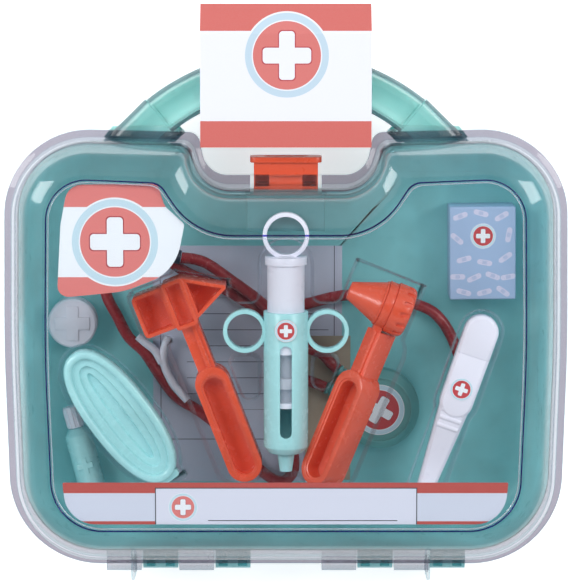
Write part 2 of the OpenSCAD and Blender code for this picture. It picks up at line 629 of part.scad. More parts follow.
// Clear tray, drawn from sheet: a flange on the base's rim and a walled pocket for each tool
// Each grip's pocket is wider on the side away from the syringe, where fingers reach in
module grip_pocket(m, side) {
    for (x = [0, side * 4]) translate([x, 0]) rod_2d(grip_y[0], grip_y[1] + 20, tool_w / 2 + m);
}
module hammer_pocket(m) { at(hammer_at, hammer_turn) { grip_pocket(m, -1); offset(delta = m) {
    hammer_left();
    hammer_block();
    hammer_wedge();
} } }
module oto_pocket(m) { at(oto_at, oto_turn) { grip_pocket(m + 1.6, 1);
    translate([-21 - m, -head_r - m]) square([31 + 2 * m, 2 * head_r + 2 * m]); } }
module syringe_pocket(m) {
    rod_2d(barrel_y, housing_y - 3 - barrel_r - m, barrel_r + m);
    translate([-3 - m, barrel_y - 9.3 - m]) square([6 + 2 * m, 12]);
    rod = loop_x + loop_r + m;
    translate([-rod, loop_y - loop_r - m]) square([2 * rod, 2 * loop_r + 2 * m]);
}
module thermo_pocket(m) { at(thermo_at, thermo_turn) {
    rod_2d(-36, 0, 8.3 + m);
    rod_2d(8.3 - thermo_l + 3.6, -30, 6.6 + m);
} }
module dish_pocket(m) { at(dish_at, dish_turn) {
    polygon(oval(dish_l / 2 + m, dish_b + m));
    translate([dish_l / 2 - 3, -6 - m]) square([5 + m, 12 + 2 * m]);
} }
pocket_m = 2.6;
pocket_r = 4;
module pockets() {
    offset(r = -pocket_r, $fn = 32) offset(r = pocket_r, $fn = 32) {
        hammer_pocket(pocket_m);
        oto_pocket(pocket_m);
        syringe_pocket(pocket_m);
        thermo_pocket(pocket_m);
        dish_pocket(pocket_m);
    }
}
module tray_sheet_2d() difference() {
    polygon(outline(flange_w + seat_w + 0.3));
    mirrored() translate([58.8, rim_y1 - 21]) square([33, 30]);
    mirrored() polygon(closed([[[case_w / 2 - 14, mid_y - 29], 5, 4], [[case_w / 2 + 10, mid_y - 29], 1, 1],
        [[case_w / 2 + 10, mid_y + 13], 1, 1], [[case_w / 2 - 14, mid_y + 13], 7, 4]]));
    translate([-latch_w / 2 - 3, top_wall_y - 21]) square([latch_w + 6, 60]);
}
module blister_tray() color(CLEAR) in_frame() {
    translate([0, 0, parting]) linear_extrude(film_t) difference() {
        tray_sheet_2d();
        pockets();
    }
    translate([0, 0, pocket_z]) linear_extrude(pocket_d + film_t) intersection() {
        polygon(outline(14));
        difference() {
            offset(delta = film_t) pockets();
            pockets();
        }
    }
    translate([0, 0, pocket_z - film_t]) linear_extrude(film_t) intersection() {
        polygon(outline(14));
        offset(delta = film_t) pockets();
    }
}

// Printed pieces
sticker_z = panel_back - card_t - 0.02;
module corner_sticker() color(PRINT_RED) in_frame() translate([0, 0, sticker_z]) linear_extrude(card_t)
    polygon(closed([[[-102, mid_y + 81], 8, 5], [[-60, mid_y + 81.5], 3, 4], [[-56.8, mid_y + 71], 6, 4],
        [[-47.5, mid_y + 62.5], 2.5, 4], [[-52, mid_y + 40], 22, 7], [[-76, mid_y + 30.6], 40, 5],
        [[-107.6, mid_y + 27.5], 5, 5], [[-105.6, mid_y + 62], 30, 4]]));
module name_banner() color(PRINT_RED) in_frame() translate([0, 0, sticker_z]) linear_extrude(card_t)
    polygon(closed([[[-106.1, mid_y - 61], 0.6, 2], [[-104, mid_y - 81.2], 15, 8],
        [[103.6, mid_y - 81.2], 15, 8], [[105.6, mid_y - 61], 0.6, 2]]));
card_z = grip_d + touch;
module card_leaf() {
    y0 = fold_y - card_h;
    bend = fold_y - 14;
    rotate([90, 0, 90]) linear_extrude(card_w, center = true)
        polygon([[y0, card_z], [bend, card_z], [fold_y - 0.6, 0.05], [fold_y, 0.05], [fold_y, 0.6],
            [bend + 0.3, card_z + card_t], [y0, card_z + card_t]]);
}
module header_card_front() color(WHITE) in_frame() translate([0, 0, parting]) card_leaf();
module header_card_back() color(WHITE) in_frame() translate([0, 0, parting]) mirror([0, 0, 1]) card_leaf();

base_shell();
lid_shell();
latch_button();
latch_spring();
blister_tray();
corner_sticker();
name_banner();
header_card_front();
header_card_back();
reflex_hammer();
syringe_barrel();
syringe_plunger();
syringe_label();
otoscope_body();
otoscope_cap();
otoscope_speculum();
thermometer_body();
thermometer_cap();
thermometer_label();
oval_dish();
pill_box_base();
pill_box_lid();
bottle_body();
bottle_cap();
plaster_box();
prescription_sheet();
patient_card();
stethoscope_chest_piece();
stethoscope_diaphragm();
stethoscope_label();
stethoscope_long_tube();
stethoscope_short_tube();
stethoscope_headset();
stethoscope_ear_tips();
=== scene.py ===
import json
import math

import bmesh
import bpy
from mathutils import Matrix, Vector

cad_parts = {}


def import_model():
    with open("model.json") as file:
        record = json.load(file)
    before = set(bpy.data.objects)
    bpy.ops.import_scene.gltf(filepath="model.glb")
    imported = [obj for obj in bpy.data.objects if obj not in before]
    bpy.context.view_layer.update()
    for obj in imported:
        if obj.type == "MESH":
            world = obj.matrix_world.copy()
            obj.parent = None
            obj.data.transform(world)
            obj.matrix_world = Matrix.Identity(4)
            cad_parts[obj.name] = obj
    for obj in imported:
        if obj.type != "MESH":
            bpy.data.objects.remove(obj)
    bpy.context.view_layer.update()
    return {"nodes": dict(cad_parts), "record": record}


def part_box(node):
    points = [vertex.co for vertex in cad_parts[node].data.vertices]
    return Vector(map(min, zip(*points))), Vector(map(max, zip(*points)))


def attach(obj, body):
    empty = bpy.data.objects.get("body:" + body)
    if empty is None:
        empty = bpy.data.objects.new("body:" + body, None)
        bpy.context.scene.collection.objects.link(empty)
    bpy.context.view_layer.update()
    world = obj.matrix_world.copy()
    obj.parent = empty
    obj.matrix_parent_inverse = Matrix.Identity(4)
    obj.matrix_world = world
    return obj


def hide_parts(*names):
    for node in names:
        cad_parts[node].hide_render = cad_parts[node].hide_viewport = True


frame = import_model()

nodes = frame["nodes"]
body_of = {n: b for b, ns in frame["record"]["behaviour"]["bodies"].items() for n in ns}

# Sizes in mm. A local Y is measured from the outer side of the hinge lugs.
MM = 0.001
MID = -27.25  # Y of the case's middle in the frame
HINGE_EDGE = -137.1  # Y in the frame where the local Y is 0
CASE_W, CASE_H, NOTCH_D = 270.4, 211.9, 22.6
CASE_TOP = 215.8  # local Y of the edge on the handle's side
PARTING = 36  # Z where the lid meets the base
HAIR = 0.02  # room that each handle half leaves at the parting
LID_T, BASE_T, FILM_T = 1.6, 2, 0.5
PAPERS_Z, POCKET_Z = 2.3, 29.3  # undersides of what lies in the base and of what lies in the tray
TUBE_R, BOW_R = 2.75, 2

# Hinge: two sets of four lugs, lid and base in turn
HINGE_Y, HINGE_Z, LUG_R, PIN_R = 4.6, 30.5, 4.6, 2
LUG_W, LUG_STEP, SET_X, SET_START = 17, 17.6, 52.2, -34.9
# Section of a standing fin beside the lugs: local Y and Z
FIN = [(0.2, 37), (0.2, 57), (2.6, 59.5), (16, 61.1), (12.4, 57.1), (9.9, 52.3), (8.7, 46), (8.2, 37)]
FIN_T = 1.6
# Arm and catch of a latch hook: local Y from and to, and Z of the top
HOOK = ((187.6, 189.2, 36.3), (186.3, 187.7, 31.6))
HOOK_X, HOOK_Z = (8.6, 14), 29.3

# Handle: its arch, and the sections of its grip and roots as width, depth and rounding
ARCH_Y, ARCH_R, ARCH_HALF, ARCH_STEPS = 145.9, 96.3, 38.4, 40
GRIP, ROOT = (19.4, 10.5, 7), (24.4, 11.1, 8)
ROOT_AT = (57.5, 221.1)  # where a root's axis starts, at the collar
ROOT_COS, ROOT_SIN = 0.714, 0.7  # the way of that axis, outwards and down to the case
COLLAR_SLANT = 0.106
LID_FOOT_Y, BASE_FOOT_Y = 212.3, 208.6  # local Y where the roots end, inside the case's wall


# Camera and light
def camera():
    """The photograph's camera: 1.3 m from the lid and tilted 8 degrees towards the handle."""
    tilt, distance = math.radians(8), 1.3
    focal_px, picture_px, sensor = 2710.7, 572, 36
    cam = bpy.data.cameras.new("camera")
    cam.sensor_fit = "HORIZONTAL"
    cam.sensor_width = sensor
    cam.lens = focal_px / picture_px * sensor
    cam.shift_x = -0.0009
    ob = bpy.data.objects.new("camera", cam)
    bpy.context.scene.collection.objects.link(ob)
    target = Vector((0.0003, -0.0012, 0.036))
    ob.location = target + distance * Vector((0, math.sin(tilt), math.cos(tilt)))
    ob.rotation_euler = (-tilt, 0, 0)
    bpy.context.scene.camera = ob


def area_lamp(name, at, size, power, size_y=None, mirrored=True):
    """A soft lamp that faces the case; mirrored says whether glossy surfaces show it."""
    lamp = bpy.data.lights.new(name, "AREA")
    lamp.energy = power
    lamp.size = size
    if size_y:
        lamp.shape = "RECTANGLE"
        lamp.size_y = size_y
    ob = bpy.data.objects.new(name, lamp)
    ob.visible_glossy = mirrored
    ob.location = at
    case_middle = Vector((0, 0, 0.03))
    ob.rotation_euler = (case_middle - Vector(at)).to_track_quat("-Z", "Y").to_euler()
    bpy.context.scene.collection.objects.link(ob)


def world():
    """A soft sky that is white to the camera, in mirrors and through clear plastic."""
    w = bpy.data.worlds.new("world")
    bpy.context.scene.world = w
    w.use_nodes = True
    nt = w.node_tree
    nt.nodes.clear()
    out = nt.nodes.new("ShaderNodeOutputWorld")
    path = nt.nodes.new("ShaderNodeLightPath")
    soft = nt.nodes.new("ShaderNodeBackground")
    soft.inputs["Color"].default_value = (0.92, 0.96, 1, 1)
    soft.inputs["Strength"].default_value = 0.42
    white = nt.nodes.new("ShaderNodeBackground")
    white.inputs["Color"].default_value = (1, 1, 1, 1)
    white.inputs["Strength"].default_value = 1
    mix = nt.nodes.new("ShaderNodeMixShader")
    seen = path.outputs["Is Camera Ray"]
    for ray in ("Is Glossy Ray", "Is Transmission Ray"):
        either = nt.nodes.new("ShaderNodeMath")
        either.operation = "MAXIMUM"
        nt.links.new(seen, either.inputs[0])
        nt.links.new(path.outputs[ray], either.inputs[1])
        seen = either.outputs[0]
    nt.links.new(seen, mix.inputs["Fac"])
    nt.links.new(soft.outputs[0], mix.inputs[1])
    nt.links.new(white.outputs[0], mix.inputs[2])
    nt.links.new(mix.outputs[0], out.inputs["Surface"])


# Materials
def linear(rgb):
    """sRGB from 0 to 255, as a linear colour."""
    return tuple((c / 255 / 12.92) if c <= 10 else ((c / 255 + 0.055) / 1.055) ** 2.4 for c in rgb) + (1,)


class Paint:
    """One node material. A socket or a plain value can go in wherever a value does."""

    def __init__(self, name):
        self.mat = bpy.data.materials.new(name)
        self.mat.use_nodes = True
        self.nt = self.mat.node_tree
        self.nt.nodes.clear()
        self.out = self.nt.nodes.new("ShaderNodeOutputMaterial")
        self._place = None

    def add(self, kind, inputs=(), **props):
        n = self.nt.nodes.new("ShaderNode" + kind)
        for k, v in props.items():
            setattr(n, k, v)
        for k, v in dict(inputs).items():
            if isinstance(v, bpy.types.NodeSocket):
                self.nt.links.new(v, n.inputs[k])
            else:
                n.inputs[k].default_value = v
        return n

    def math(self, op, a, b=0.0):
        return self.add("Math", {0: a, 1: b}, operation=op).outputs[0]

    def place(self):
        """The place on the object in mm, as a vector and as X, Y and Z."""
        if self._place is None:
            co = self.add("TexCoord").outputs["Object"]
            mm = self.add("VectorMath", {0: co, 1: (1000, 1000, 1000)}, operation="MULTIPLY").outputs[0]
            self._place = (mm, *self.add("SeparateXYZ", {0: mm}).outputs)
        return self._place

    def noise(self, scale, detail=3.0, rough=0.55):
        """Noise with about scale mm between its bumps."""
        put = {"Vector": self.place()[0], "Scale": 1 / scale, "Detail": detail, "Roughness": rough}
        return self.add("TexNoise", put).outputs["Fac"]

    def step(self, value, start, end, lo=0.0, hi=1.0):
        """lo until value is at start, hi from end on, and even between them."""
        put = {"Value": value, "From Min": start, "From Max": end, "To Min": lo, "To Max": hi}
        return self.add("MapRange", put).outputs[0]

    def range(self, noise, lo, hi):
        """Noise spread from lo to hi."""
        return self.step(noise, 0.3, 0.7, lo, hi)

    def mix(self, fac, a, b):
        return self.add("Mix", {"Factor": fac, 6: a, 7: b}, data_type="RGBA").outputs[2]

    def mottled(self, rgb, shade):
        """The colour with faint patches that are darker by shade."""
        base = linear(rgb)
        dark = tuple(c * shade for c in base[:3]) + (1,)
        return self.mix(self.range(self.noise(14, 2), 0, 1), base, dark)

    def bump(self, height, strength, distance, normal=None):
        put = {"Height": height, "Strength": strength, "Distance": distance}
        if normal is not None:
            put["Normal"] = normal
        return self.add("Bump", put).outputs[0]

    def moulded(self):
        """The normal of moulded plastic: softened edges and a fine unevenness."""
        edge = self.add("Bevel", {"Radius": 0.35 * MM}, samples=4).outputs[0]
        return self.bump(self.noise(1.6, 4), 0.05, 0.0002, edge)

    def surface(self, shader):
        self.nt.links.new(shader, self.out.inputs["Surface"])
        return self.mat

    # Flat shapes as masks. Their places are X and Y of the frame in mm.
    def about(self, cx, cy, turn=0.0):
        """X and Y about a point of the print, turned by degrees."""
        _, x, y, _ = self.place()
        dx, dy = self.math("SUBTRACT", x, cx), self.math("SUBTRACT", y, cy)
        if not turn:
            return dx, dy
        c, s = math.cos(math.radians(turn)), math.sin(math.radians(turn))
        u = self.math("ADD", self.math("MULTIPLY", dx, c), self.math("MULTIPLY", dy, s))
        v = self.math("SUBTRACT", self.math("MULTIPLY", dy, c), self.math("MULTIPLY", dx, s))
        return u, v

    def disc(self, at, r):
        squares = [self.math("MULTIPLY", q, q) for q in at]
        return self.math("LESS_THAN", self.math("SQRT", self.math("ADD", *squares)), r)

    def bar(self, at, w, h, r=0.01):
        """A rectangle with corners of radius r."""
        past = []
        for q, size in zip(at, (w, h)):
            off = self.math("SUBTRACT", self.math("ABSOLUTE", q), size / 2 - r)
            past.append(self.math("MAXIMUM", off, 0.0))
        return self.disc(past, r)

    def plus(self, at, size, arm, r):
        return self.math("MAXIMUM", self.bar(at, size, arm, r), self.bar(at, arm, size, r))

    def either(self, *masks):
        out = masks[0]
        for m in masks[1:]:
            out = self.math("MAXIMUM", out, m)
        return out

    def outside(self, value, low, high):
        return self.either(self.math("GREATER_THAN", value, high), self.math("LESS_THAN", value, low))


def plastic(name, rgb, rough=0.3, shade=0.9):
    """Moulded plastic with a faint unevenness in colour and gloss."""
    p = Paint(name)
    shader = p.add("BsdfPrincipled", {
        "Base Color": p.mottled(rgb, shade),
        "Roughness": p.range(p.noise(5, 3), rough * 0.85, rough * 1.2),
        "Normal": p.moulded()})
    return p.surface(shader.outputs[0])


def case_plastic(name, rgb, painted_light_rgb, painted_shade_rgb):
    """Thin coloured plastic that some light passes through, with painted light on the handle and painted shade on the
    latch's housing.
    """
    p = Paint(name)
    rough, through, shade = 0.3, 0.4, 0.9
    _, _, y, z = p.place()
    # Painted light: the handle is coloured a lighter teal than the rest of the case
    colour = p.mix(p.step(y, 74, 78.6), p.mottled(rgb, shade), linear(painted_light_rgb))
    # Painted shade: the top of the latch's housing, above Z 30, is coloured a darker teal
    housing = p.math("MULTIPLY", p.bar(p.about(0, 39.4), 39, 22, 1), p.math("GREATER_THAN", z, 30))
    colour = p.mix(housing, colour, linear(painted_shade_rgb))
    normal = p.moulded()
    solid = p.add("BsdfPrincipled", {
        "Base Color": colour, "Roughness": p.range(p.noise(5, 3), rough * 0.85, rough * 1.2), "Normal": normal})
    passed = p.add("BsdfTranslucent", {"Color": colour, "Normal": normal})
    return p.surface(p.add("MixShader", {0: through, 1: solid.outputs[0], 2: passed.outputs[0]}).outputs[0])


def clear(name, tint, edge, haze_rgb, fog, ior, cap, milk=0.003, rough=0.03, wave=0.03, rim=None):
    """Thin clear plastic: lets light straight through and mirrors by Fresnel, up to cap.

    Where it's steep it takes its edge tint and, by fog, some haze; milk is the haze everywhere.
    rim is the tint of the lid's thicker edge and the height in mm of its middle.
    """
    p = Paint(name)
    normal = p.bump(p.noise(9, 2), wave, 0.0004)
    facing = p.add("LayerWeight", {"Blend": 0.35, "Normal": normal}).outputs["Facing"]
    colour = linear(tint)
    if rim:
        off = p.math("ABSOLUTE", p.math("SUBTRACT", p.place()[3], rim[1]))
        # Painted light: the rim tint is left out over the latch, so that the latch under the flange shows lighter
        latch = p.bar(p.about(0, 51), 34, 24, 1)
        colour = p.mix(p.math("SUBTRACT", p.step(off, 2.9, 2.6), latch), colour, linear(rim[0]))
    colour = p.mix(p.math("POWER", facing, 2.5), colour, linear(edge))
    through = p.add("BsdfTransparent", {"Color": colour}).outputs[0]
    haze = p.add("BsdfPrincipled", {
        "Base Color": linear(haze_rgb), "Roughness": p.range(p.noise(4, 2), 0.2, 0.3),
        "Normal": normal}).outputs[0]
    cloud = p.math("ADD", p.math("MULTIPLY", p.math("POWER", facing, 3.0), fog), milk)
    body = p.add("MixShader", {0: cloud, 1: through, 2: haze}).outputs[0]
    gloss = p.add("BsdfGlossy", {"Color": (1, 1, 1, 1), "Roughness": rough, "Normal": normal}).outputs[0]
    shine = p.math("MINIMUM", p.add("Fresnel", {"IOR": ior, "Normal": normal}).outputs[0], cap)
    return p.surface(p.add("MixShader", {0: shine, 1: body, 2: gloss}).outputs[0])


def paper(name, print_on, coat=0.0):
    """Printed paper or card. print_on draws the print on a Paint and returns its colour."""
    p = Paint(name)
    rough = 0.55
    colour = print_on(p)
    fibre = p.noise(0.8, 5, 0.65)
    colour = p.mix(p.range(fibre, 0.0, 0.05), colour, (0.55, 0.55, 0.55, 1))
    shader = p.add("BsdfPrincipled", {
        "Base Color": colour, "Roughness": p.range(fibre, rough * 0.9, rough * 1.1),
        "Coat Weight": coat, "Coat Roughness": 0.12,
        "Normal": p.bump(fibre, 0.04, 0.0002)})
    return p.surface(shader.outputs[0])


# Prints
RED, DEEP_RED, PLUS_EDGE = linear((228, 128, 125)), linear((200, 62, 68)), linear((170, 44, 56))
PRINT_WHITE, RING = linear((246, 248, 255)), linear((202, 226, 240))
CARD_WHITE, CARD_RING = linear((230, 232, 242)), linear((186, 208, 224))
INK = linear((60, 60, 72))


def badge(p, colour, at, k, field=DEEP_RED, white=PRINT_WHITE, ring=RING):
    """The round medical badge: a pale ring between white lines, a red field and a white plus. k is its scale."""
    for r, c in ((21.0, white), (20.2, ring), (17.0, white), (16.4, field)):
        colour = p.mix(p.disc(at, r * k), colour, c)
    colour = p.mix(p.plus(at, 24.4 * k, 8.6 * k, 2 * k), colour, PLUS_EDGE)
    return p.mix(p.plus(at, 23.4 * k, 7.6 * k, 1.8 * k), colour, white)


def header_print(p):
    _, _, y, _ = p.place()
    colour = p.mix(p.outside(y, 82.4, 124.7), CARD_WHITE, linear((200, 98, 92)))
    return badge(p, colour, p.about(0.5, 113.2), 0.975, linear((206, 112, 108)), CARD_WHITE, CARD_RING)


def sticker_print(p):
    _, _, y, _ = p.place()
    colour = p.mix(p.outside(y, 10.2, 43.3), PRINT_WHITE, RED)
    return badge(p, colour, p.about(-80.1, 26.8), 1.0, RED)


def banner_print(p):
    _, _, y, _ = p.place()
    colour = p.mix(p.outside(y, -106.9, -93.3), linear((218, 221, 238)), linear((194, 82, 76)))
    box = p.about(0.1, -100.2)
    colour = p.mix(p.bar(box, 124.6, 19.2), colour, INK)
    colour = p.mix(p.bar(box, 123.6, 18.2), colour, linear((228, 228, 244)))
    colour = p.mix(p.bar(p.about(8, -106.6), 90, 0.45), colour, INK)
    return badge(p, colour, p.about(-48.9, -100.1), 0.33, RED)


def sheet_print(p):
    """A generic blank form: ruled lines in a thin frame."""
    _, _, y, _ = p.place()
    line_gap, line_w = 8.0, 0.36
    row = p.math("PINGPONG", p.math("ADD", y, 50 * line_gap), line_gap / 2)
    lines = p.math("LESS_THAN", p.math("SUBTRACT", row, line_w / 2), 0.0)
    lines = p.math("MULTIPLY", lines, p.bar(p.about(-14, -36), 70, 56))
    page = p.about(-19, -29)
    edge = p.math("SUBTRACT", p.bar(page, 86, 100), p.bar(page, 85.2, 99.2))
    return p.mix(p.either(lines, edge), linear((206, 208, 228)), linear((70, 72, 96)))


def pack_print(p):
    """Plain plaster shapes scattered on pale blue: X and Y from the pack's middle, and turn."""
    colour = linear((166, 190, 226))
    spread = (
        (-11, 18, 20), (-1, 19.5, -15), (9, 18, 30), (12.5, 9, 80), (-12.5, 7, -40), (-9, -3, 15), (1, -4.5, -10),
        (11, -2, 35), (-12, -11.5, 0), (-4, -12, 25), (5, -11, -20), (12.5, -11.5, 10), (-9, -19, -15), (1, -19, 15),
        (10, -18.5, -35))
    for dx, dy, turn in spread:
        at = p.about(95.2 + dx, 16.5 + dy, turn)
        colour = p.mix(p.bar(at, 7.4, 2.6, 1.3), colour, linear((216, 214, 240)))
        colour = p.mix(p.bar(at, 2.2, 1.7, 0.2), colour, linear((190, 198, 230)))
    return badge(p, colour, p.about(95.3, 24.9), 0.29)


def disc_print(node, k, base, turn=0.0):
    """The badge at scale k on the middle of a round label, on a plain colour."""
    lo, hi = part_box(node)
    middle = ((lo[0] + hi[0]) / 2 / MM, (lo[1] + hi[1]) / 2 / MM)
    return lambda p: badge(p, linear(base), p.about(*middle, turn), k)


# Meshes
def finish_mesh(ob, angle=32):
    """Smooth shading, with sharp edges where faces meet at more than the angle in degrees."""
    me = ob.data
    me.polygons.foreach_set("use_smooth", [True] * len(me.polygons))
    me.set_sharp_from_angle(angle=math.radians(angle))
    me.update()


def apply_modifiers(ob):
    dg = bpy.context.evaluated_depsgraph_get()
    me = bpy.data.meshes.new_from_object(ob.evaluated_get(dg))
    ob.modifiers.clear()
    ob.data = me


def round_edges(ob, angle):
    """Bevel the edges of more than the angle in degrees."""
    m = ob.modifiers.new("round", "BEVEL")
    m.width = 0.3 * MM
    m.segments = 2
    m.limit_method = "ANGLE"
    m.angle_limit = math.radians(angle)
    apply_modifiers(ob)


def new_object(name, me):
    ob = bpy.data.objects.new(name, me)
    bpy.context.scene.collection.objects.link(ob)
    return ob


def mesh_object(name, bm):
    me = bpy.data.meshes.new(name)
    bm.to_mesh(me)
    bm.free()
    return new_object(name, me)


def from_bmesh(name, bm, angle=40):
    bmesh.ops.recalc_face_normals(bm, faces=bm.faces)
    ob = mesh_object(name, bm)
    finish_mesh(ob, angle)
    return ob


def add_object(bm, ob):
    """Add an object's mesh to bm and remove the object."""
    bm.from_mesh(ob.data)
    bpy.data.objects.remove(ob)


def stand_for(ob, node):
    """The object takes the place of a node and rides on its body."""
    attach(ob, body_of[node])
    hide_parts(node)
    return ob


def skin(node, rounded=True):
    """The node's own form with smooth shading and, if rounded, rounded edges, as a piece that stands for it."""
    ob = new_object(node + "_form", nodes[node].data.copy())
    bm = bmesh.new()
    bm.from_mesh(ob.data)
    weld = 2e-6
    bmesh.ops.remove_doubles(bm, verts=bm.verts, dist=weld)
    bmesh.ops.dissolve_degenerate(bm, dist=weld, edges=bm.edges)
    bmesh.ops.dissolve_limit(bm, angle_limit=math.radians(0.8), verts=bm.verts, edges=bm.edges)
    bm.to_mesh(ob.data)
    bm.free()
    ob.data.materials.clear()
    if rounded:
        round_edges(ob, 38)
    finish_mesh(ob)
    return stand_for(ob, node)


def skin_between(bm, a, b):
    """Faces between two rings of equally many vertices."""
    for i in range(len(a)):
        j = (i + 1) % len(a)
        bm.faces.new((a[i], a[j], b[j], b[i]))


def add_rings(bm, rings):
    """Skin through rings of points in mm; returns their vertices."""
    rows = [[bm.verts.new(Vector(q) * MM) for q in ring] for ring in rings]
    for a, b in zip(rows, rows[1:]):
        skin_between(bm, a, b)
    return rows


def add_loft(bm, rings):
    """Skin through rings of points in mm, closed at both ends."""
    rows = add_rings(bm, rings)
    bm.faces.new(rows[0])
    bm.faces.new(rows[-1])


def spline(p, t):
    """The point at t on a smooth curve through the points p, one for each whole t."""
    i = min(int(t), len(p) - 2)
    f = t - i
    a, b, c, d = p[max(i - 1, 0)], p[i], p[i + 1], p[min(i + 2, len(p) - 1)]
    return 0.5 * (2 * b + (c - a) * f + (2 * a - 5 * b + 4 * c - d) * f * f + (3 * b - a - 3 * c + d) * f ** 3)


def fillet(a, b, c, r, n):
    """Points of an arc of radius r that rounds the corner b between a and c."""
    a, b, c = Vector(a), Vector(b), Vector(c)
    u, v = (a - b).normalized(), (c - b).normalized()
    half = u.angle(v) / 2
    mid = b + (u + v).normalized() * (r / math.sin(half))
    p, q = b + u * (r / math.tan(half)), b + v * (r / math.tan(half))
    start = math.atan2(p.y - mid.y, p.x - mid.x)
    sweep = (math.atan2(q.y - mid.y, q.x - mid.x) - start + math.pi) % math.tau - math.pi
    turns = [start + sweep * i / n for i in range(n + 1)]
    return [mid + r * Vector((math.cos(t), math.sin(t))) for t in turns]


def at_local(x, y, z):
    """A point of the frame in mm from a local one."""
    return Vector((x, y + HINGE_EDGE, z))


# Hoses
def nozzle_point(angle, d):
    """A point d mm beyond the tip of one of the chest piece's two nozzles, with Y from the case's middle."""
    cx, cy, z, reach = 45.8, -35.1, 8.5, 28.3
    a = math.radians(angle)
    return cx - (reach + d) * math.sin(a), cy + (reach + d) * math.cos(a), z


# Routes of the CAD's hoses and of the headset's bows, with Y from the case's middle
LONG_ROUTE = [
    nozzle_point(68, 0.3), nozzle_point(68, 5), (6, -20.5, 7.6), (-1, -27, 6.8), (-1, -40, 6.2), (3, -54, 6.2),
    (3.5, -67, 6.2), (-3, -72, 6.2), (-13, -66, 6.2), (-27, -50, 6.2), (-41, -38, 6.2), (-54, -29.5, 6.2),
    (-62, -19, 6.2), (-69.5, -7.5, 6.2), (-77.5, 0.5, 6.2), (-83, 11, 6.2), (-88, 21, 6.2), (-90, 34, 6.2),
    (-82, 45, 6.2), (-66, 43, 6.2), (-48, 32, 6.2), (-30, 24, 6.2), (-10, 13, 6.2), (7, 16, 6.2), (29, 21, 6.2),
    (50, 20, 6.2), (68, 15, 6.2), (76, 9, 6.2), (82, -1, 6.2), (86, -14, 6.2), (84, -28, 6.2)]
SHORT_ROUTE = [
    nozzle_point(46, 0.3), nozzle_point(46, 5), (17, -7, 10), (8, -3, 12), (-2, 8, 12.2), (-13, 19, 12.2),
    (-25, 28, 12.2), (-39.5, 38, 12.6), (-51, 40.5, 12.8)]
BOWS = [
    [(-72.6, 1.2, 9.8), (-68.6, -2.4, 9.6), (-64.4, -6, 9.4), (-61, -12, 9.3)],
    [(-57.6, 1, 9.3), (-59.6, -4.5, 9.3), (-60.2, -10, 9.3), (-58.8, -16, 9.4), (-55.3, -22.6, 10.6),
     (-51.6, -27, 11.2), (-48.4, -30.4, 11.4)]]


def add_hose(bm, route, r):
    """A round tube of radius r along a route."""
    per_leg, sides, look = 10, 20, 0.05
    p = [Vector((q[0], q[1] + MID, q[2])) for q in route]
    last = len(p) - 1
    turns = [math.tau * k / sides for k in range(sides)]
    rings = []
    for i in range(last * per_leg + 1):
        t = i / per_leg
        way = (spline(p, min(t + look, last)) - spline(p, max(t - look, 0))).normalized()
        side = way.cross(Vector((0, 0, 1))).normalized()
        up = way.cross(side)
        rings.append([spline(p, t) + r * (math.cos(a) * side + math.sin(a) * up) for a in turns])
    add_loft(bm, rings)


def hose(node, routes, r):
    bm = bmesh.new()
    for route in routes:
        add_hose(bm, route, r)
    return stand_for(from_bmesh(node + "_form", bm), node)


# The dish from its foot up the outside, over the round rim and down the steps: inset and height
DISH_RINGS = [
    (2.6, 0), (1.6, 0.3), (0.7, 1.2), (0.15, 2.4), (0, 3.4), (0.05, 8), (0.25, 9.5), (0.8, 10.5), (1.7, 11),
    (2.6, 11), (3.4, 10.7), (4, 10.1), (4.3, 9.4), (4.4, 8.6), (4.6, 8.15), (5, 8), (7.4, 8), (7.9, 7.9),
    (8.2, 7.5), (8.4, 6.4), (8.6, 6.05), (9, 5.9), (11.6, 5.8), (12.1, 5.6), (12.4, 5.2), (12.7, 4.2), (13, 3.8)]
DISH_TAB = [(0.5, 2), (0, 2.5), (0, 7.5), (0.5, 8)]


def oval(a, b, n=144):
    """Points round an oval with half axes a and b, a little squarer than an ellipse."""
    def squarer(v):
        return math.copysign(abs(v) ** 0.85, v)
    turns = [math.tau * i / n for i in range(n)]
    return [(a * squarer(math.cos(t)), b * squarer(math.sin(t))) for t in turns]


def dish():
    """The stepped oval dish with the small tab at one end."""
    half, half_w, tab_half = 38, 15.4, 6
    turn, place = Matrix.Rotation(math.radians(-53), 3, "Z"), Vector((-80, MID - 33.8, POCKET_Z))
    bm = bmesh.new()

    def put(x, y, z):
        return turn @ Vector((x, y, z)) + place
    add_loft(bm, [[put(x, y, z) for x, y in oval(half - d, half_w - d)] for d, z in DISH_RINGS])
    x0, x1, w = half - 1.2, half + 2, tab_half
    tab = [(x0, -w), (x1 - 1, -w), (x1, -w + 1), (x1, w - 1), (x1 - 1, w), (x0, w)]
    add_loft(bm, [[put(x - d, y * (1 - d / w), z) for x, y in tab] for d, z in DISH_TAB])
    return stand_for(from_bmesh("oval_dish_form", bm, 30), "oval_dish")


# The plaster pack's section, from its back to its front: inset and height
PACK_RINGS = [(0.7, 0), (0.25, 0.15), (0, 0.6), (0, 9.7), (0.2, 9.85), (0.2, 10.15), (0, 10.3), (0, 19.4),
              (0.12, 19.7), (0.4, 19.93), (0.8, 20)]


def pack():
    """The plaster pack: a carton with rounded edges and a fold round its middle."""
    half_w, half_h, corner_r = 16, 22.6, 0.8
    turn, mid = Matrix.Rotation(math.radians(0.6), 3, "Z"), Vector((95.2, MID + 43.8, PAPERS_Z))
    bm = bmesh.new()

    def ring(d, z):
        corners = [(sx * (half_w - d), sy * (half_h - d)) for sx, sy in ((1, -1), (1, 1), (-1, 1), (-1, -1))]
        out = []
        for before, at, after in zip(corners[-1:] + corners, corners, corners[1:] + corners[:1]):
            out += [turn @ Vector((q.x, q.y, z)) + mid for q in fillet(before, at, after, corner_r, 5)]
        return out
    add_loft(bm, [ring(d, z) for d, z in PACK_RINGS])
    return stand_for(from_bmesh("plaster_box_form", bm, 34), "plaster_box")


